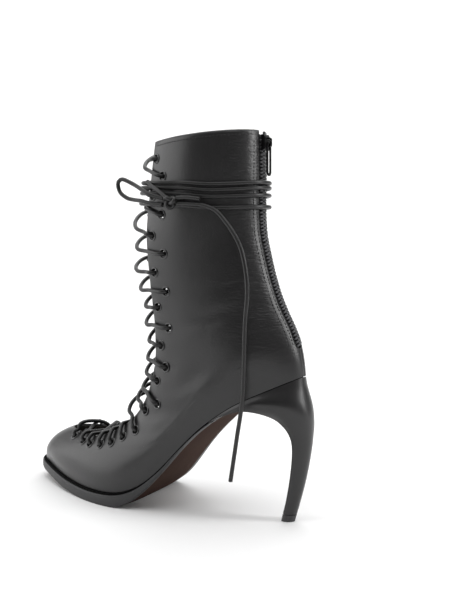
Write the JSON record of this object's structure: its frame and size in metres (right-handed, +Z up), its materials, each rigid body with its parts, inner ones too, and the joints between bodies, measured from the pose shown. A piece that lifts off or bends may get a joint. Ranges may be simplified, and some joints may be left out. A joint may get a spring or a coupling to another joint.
{
  "type": "lace-up ankle boot",
  "caption": "High-heeled black leather lace-up ankle boot, open laced throat, cord wrapped and bowed at the shaft, centre-back zip with a swinging pull, slim curved heel.",
  "frame": {"origin": "on the floor under the middle of the boot's box, cord ends and bow left out", "axes": "+X towards the toe, +Y towards the outer side of the left foot, +Z up"},
  "size_m": [0.2505, 0.0872, 0.2755],
  "materials": {
    "black_leather": "smooth satin",
    "insole_leather": "matte lining leather",
    "sole_leather": "brown bottom, black edge",
    "welt_leather": "waxed",
    "tip_rubber": "matte",
    "zip_fabric": "woven tape with chain",
    "zip_metal": "dark nickel",
    "eyelet_metal": "black enamel",
    "lace_leather": "round cord"
  },
  "bodies": {
    "boot": {"upper": "black_leather", "insole": "insole_leather", "welt": "welt_leather", "outsole": "sole_leather", "heel": "black_leather", "heel_tip": "tip_rubber", "zip_tape": "zip_fabric", "zip_slider": "zip_metal", "lace_crossings": "lace_leather", "lace_wraps": "lace_leather", "lace_knot": "lace_leather", "lace_bow_loop": "lace_leather", "lace_end_long": "lace_leather", "lace_end_short": "lace_leather", "eyelet_out_01": "eyelet_metal", "eyelet_out_02": "eyelet_metal", "eyelet_out_03": "eyelet_metal", "eyelet_out_04": "eyelet_metal", "eyelet_out_05": "eyelet_metal", "eyelet_out_06": "eyelet_metal", "eyelet_out_07": "eyelet_metal", "eyelet_out_08": "eyelet_metal", "eyelet_out_09": "eyelet_metal", "eyelet_out_10": "eyelet_metal", "eyelet_out_11": "eyelet_metal", "eyelet_out_12": "eyelet_metal", "eyelet_out_13": "eyelet_metal", "eyelet_out_14": "eyelet_metal", "eyelet_out_15": "eyelet_metal", "eyelet_out_16": "eyelet_metal", "eyelet_out_17": "eyelet_metal", "eyelet_out_18": "eyelet_metal", "eyelet_out_19": "eyelet_metal", "eyelet_out_20": "eyelet_metal", "eyelet_out_21": "eyelet_metal", "eyelet_out_22": "eyelet_metal", "eyelet_in_01": "eyelet_metal", "eyelet_in_02": "eyelet_metal", "eyelet_in_03": "eyelet_metal", "eyelet_in_04": "eyelet_metal", "eyelet_in_05": "eyelet_metal", "eyelet_in_06": "eyelet_metal", "eyelet_in_07": "eyelet_metal", "eyelet_in_08": "eyelet_metal", "eyelet_in_09": "eyelet_metal", "eyelet_in_10": "eyelet_metal", "eyelet_in_11": "eyelet_metal", "eyelet_in_12": "eyelet_metal", "eyelet_in_13": "eyelet_metal", "eyelet_in_14": "eyelet_metal", "eyelet_in_15": "eyelet_metal", "eyelet_in_16": "eyelet_metal", "eyelet_in_17": "eyelet_metal", "eyelet_in_18": "eyelet_metal", "eyelet_in_19": "eyelet_metal", "eyelet_in_20": "eyelet_metal", "eyelet_in_21": "eyelet_metal", "eyelet_in_22": "eyelet_metal"},
    "pull": {"zip_pull": "zip_metal"}
  },
  "joints": [
    {"name": "zip_pull_swing", "type": "hinge", "parent": "boot", "child": "pull", "pos_m": [-0.09001, 0.0005, 0.2674], "axis": [0, 1, 0], "range_deg": [0, 160]}
  ]
}
